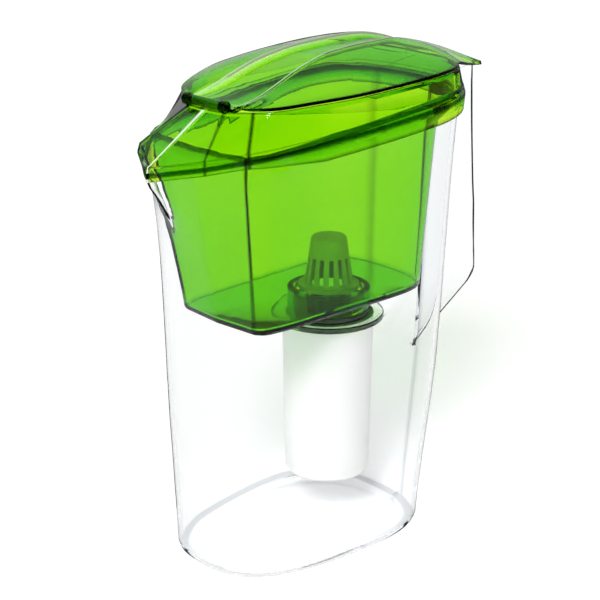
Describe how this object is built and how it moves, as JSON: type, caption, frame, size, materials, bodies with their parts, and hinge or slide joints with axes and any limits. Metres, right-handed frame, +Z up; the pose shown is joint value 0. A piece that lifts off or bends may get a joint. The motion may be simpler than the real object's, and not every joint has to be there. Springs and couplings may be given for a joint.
{
  "type": "water filter pitcher",
  "caption": "Clear water filter pitcher with a green lid whose cover flips open, a green funnel and a screw-in filter cartridge.",
  "frame": {"origin": "middle of the flat underside of the jug", "axes": "+Z up along the jug, -X towards the spout, +X towards the handle, +Y completes the right-handed set"},
  "size_m": [0.2424, 0.1232, 0.2884],
  "materials": {
    "clear_plastic": "clear, glossy",
    "green_clear_plastic": "see-through green, glossy",
    "green_plastic": "see-through green, glossy",
    "pale_clear_plastic": "see-through pale green",
    "lime_plastic": "satin",
    "white_plastic": "satin",
    "white_mesh": "fine mesh",
    "felt": "felt",
    "resin": "beads",
    "carbon": "granules",
    "black_rubber": "soft"
  },
  "bodies": {
    "jug": {"jug": "clear_plastic"},
    "funnel": {"funnel": "green_clear_plastic"},
    "lid": {"lid_frame": "green_plastic"},
    "cover": {"flip_cover": "green_plastic"},
    "seal": {"seal_ring": "black_rubber"},
    "cartridge": {"collar": "pale_clear_plastic", "strainer": "lime_plastic", "shell": "white_plastic", "upper_mesh": "white_mesh", "resin_bed": "resin", "felt_disc": "felt", "carbon_bed": "carbon", "lower_mesh": "white_mesh", "grille": "white_plastic"}
  },
  "joints": [
    {"name": "funnel_lift", "type": "slide", "parent": "jug", "child": "funnel", "axis": [0, 0, 1], "range_m": [0, 0.235]},
    {"name": "lid_lift", "type": "slide", "parent": "funnel", "child": "lid", "axis": [0, 0, 1], "range_m": [0, 0.08]},
    {"name": "cover_flip", "type": "hinge", "parent": "lid", "child": "cover", "pos_m": [-0.062, 0, 0.26576], "axis": [0, -1, 0], "range_deg": [0, 95]},
    {"name": "cartridge_drop", "type": "slide", "parent": "funnel", "child": "seal", "axis": [0, 0, -1], "range_m": [0, 0.006]},
    {"name": "cartridge_screw", "type": "hinge", "parent": "seal", "child": "cartridge", "pos_m": [0.027, 0, 0.131], "axis": [0, 0, -1], "range_deg": [0, 540]}
  ],
  "couplings": [
    {"joint": "cartridge_drop", "follows": "cartridge_screw", "m_per_rad": 0.0006366}
  ]
}
